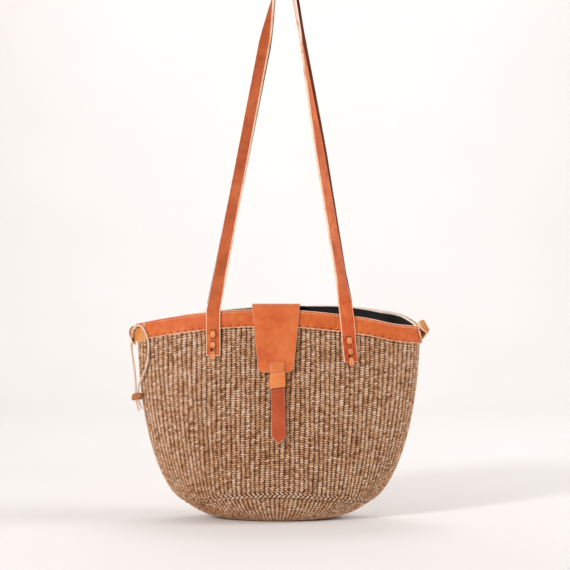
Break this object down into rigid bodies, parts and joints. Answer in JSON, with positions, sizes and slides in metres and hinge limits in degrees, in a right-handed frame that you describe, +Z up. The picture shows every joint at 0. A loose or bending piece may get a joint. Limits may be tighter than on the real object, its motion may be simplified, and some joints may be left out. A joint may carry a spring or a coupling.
{
  "type": "basket tote bag",
  "caption": "Twined sisal basket tote with leather rim bands, long laced shoulder straps, a closing flap with tongue and keeper, side tabs and a beaded side lace.",
  "frame": {"origin": "on the flat that the basket stands on, under the middle of the rim", "axes": "+Z up, +X along the bag's length to the right as seen from the front, -Y out of the front with the flap's tongue"},
  "size_m": [0.374, 0.1284, 0.6685],
  "materials": {
    "sisal": "twined plant fibre, matte, khaki brown",
    "lining_cloth": "plain black cotton",
    "band_leather": "orange-tan vegetable-tanned leather with raw pale edges",
    "strap_leather": "orange-brown leather with raw pale edges",
    "flap_leather": "smooth orange-tan leather",
    "tongue_leather": "redder tan leather with raw pale edges",
    "keeper_leather": "light orange-tan leather",
    "thong_leather": "soft tan lacing thong",
    "tab_leather": "tan leather strip",
    "lace_leather": "pale undyed leather lace",
    "bead_leather": "red-brown leather slide bead"
  },
  "bodies": {
    "bag": {"basket_wall": "sisal", "basket_base": "sisal", "base_wale": "sisal", "lining": "lining_cloth", "rim_band_front": "band_leather", "rim_band_back": "band_leather", "front_strap_left_end": "strap_leather", "front_strap_left_end_lacing": "thong_leather", "front_strap_right_end": "strap_leather", "front_strap_right_end_lacing": "thong_leather", "back_strap_left_end": "strap_leather", "back_strap_left_end_lacing": "thong_leather", "back_strap_right_end": "strap_leather", "back_strap_right_end_lacing": "thong_leather", "flap_tail": "flap_leather", "keeper": "keeper_leather", "side_tab_left": "tab_leather", "side_tab_right": "tab_leather"},
    "flap": {"flap": "flap_leather", "tongue_root": "tongue_leather"},
    "tongue": {"tongue": "tongue_leather"},
    "front_strap": {"front_strap": "strap_leather"},
    "back_strap": {"back_strap": "strap_leather"},
    "side_lace": {"side_lace": "lace_leather"},
    "lace_bead": {"lace_bead": "bead_leather"}
  },
  "joints": [
    {"name": "flap_lift", "type": "hinge", "parent": "bag", "child": "flap", "pos_m": [-0.0036, 0.04885, 0.26712], "axis": [-1, 0, 0], "range_deg": [0, 174], "deforming": ["tongue"]},
    {"name": "tongue_lift", "type": "hinge", "parent": "flap", "child": "tongue", "pos_m": [-0.0012, -0.05963, 0.19948], "axis": [-1, 0, 0], "range_deg": [0, 120], "deforming": ["tongue"]},
    {"name": "front_strap_swing", "type": "hinge", "parent": "bag", "child": "front_strap", "pos_m": [0.001, -0.0483, 0.25932], "axis": [1, 0, 0], "range_deg": [0, 115]},
    {"name": "back_strap_swing", "type": "hinge", "parent": "bag", "child": "back_strap", "pos_m": [0.0008, 0.0479, 0.26612], "axis": [-1, 0, 0], "range_deg": [0, 115]},
    {"name": "side_lace_swing", "type": "hinge", "parent": "bag", "child": "side_lace", "pos_m": [-0.1828, 0, 0.2306], "axis": [0, 1, 0], "range_deg": [0, 60]},
    {"name": "bead_slide", "type": "slide", "parent": "side_lace", "child": "lace_bead", "axis": [0, 0, 1], "range_m": [0, 0.008], "deforming": ["side_lace"]}
  ]
}
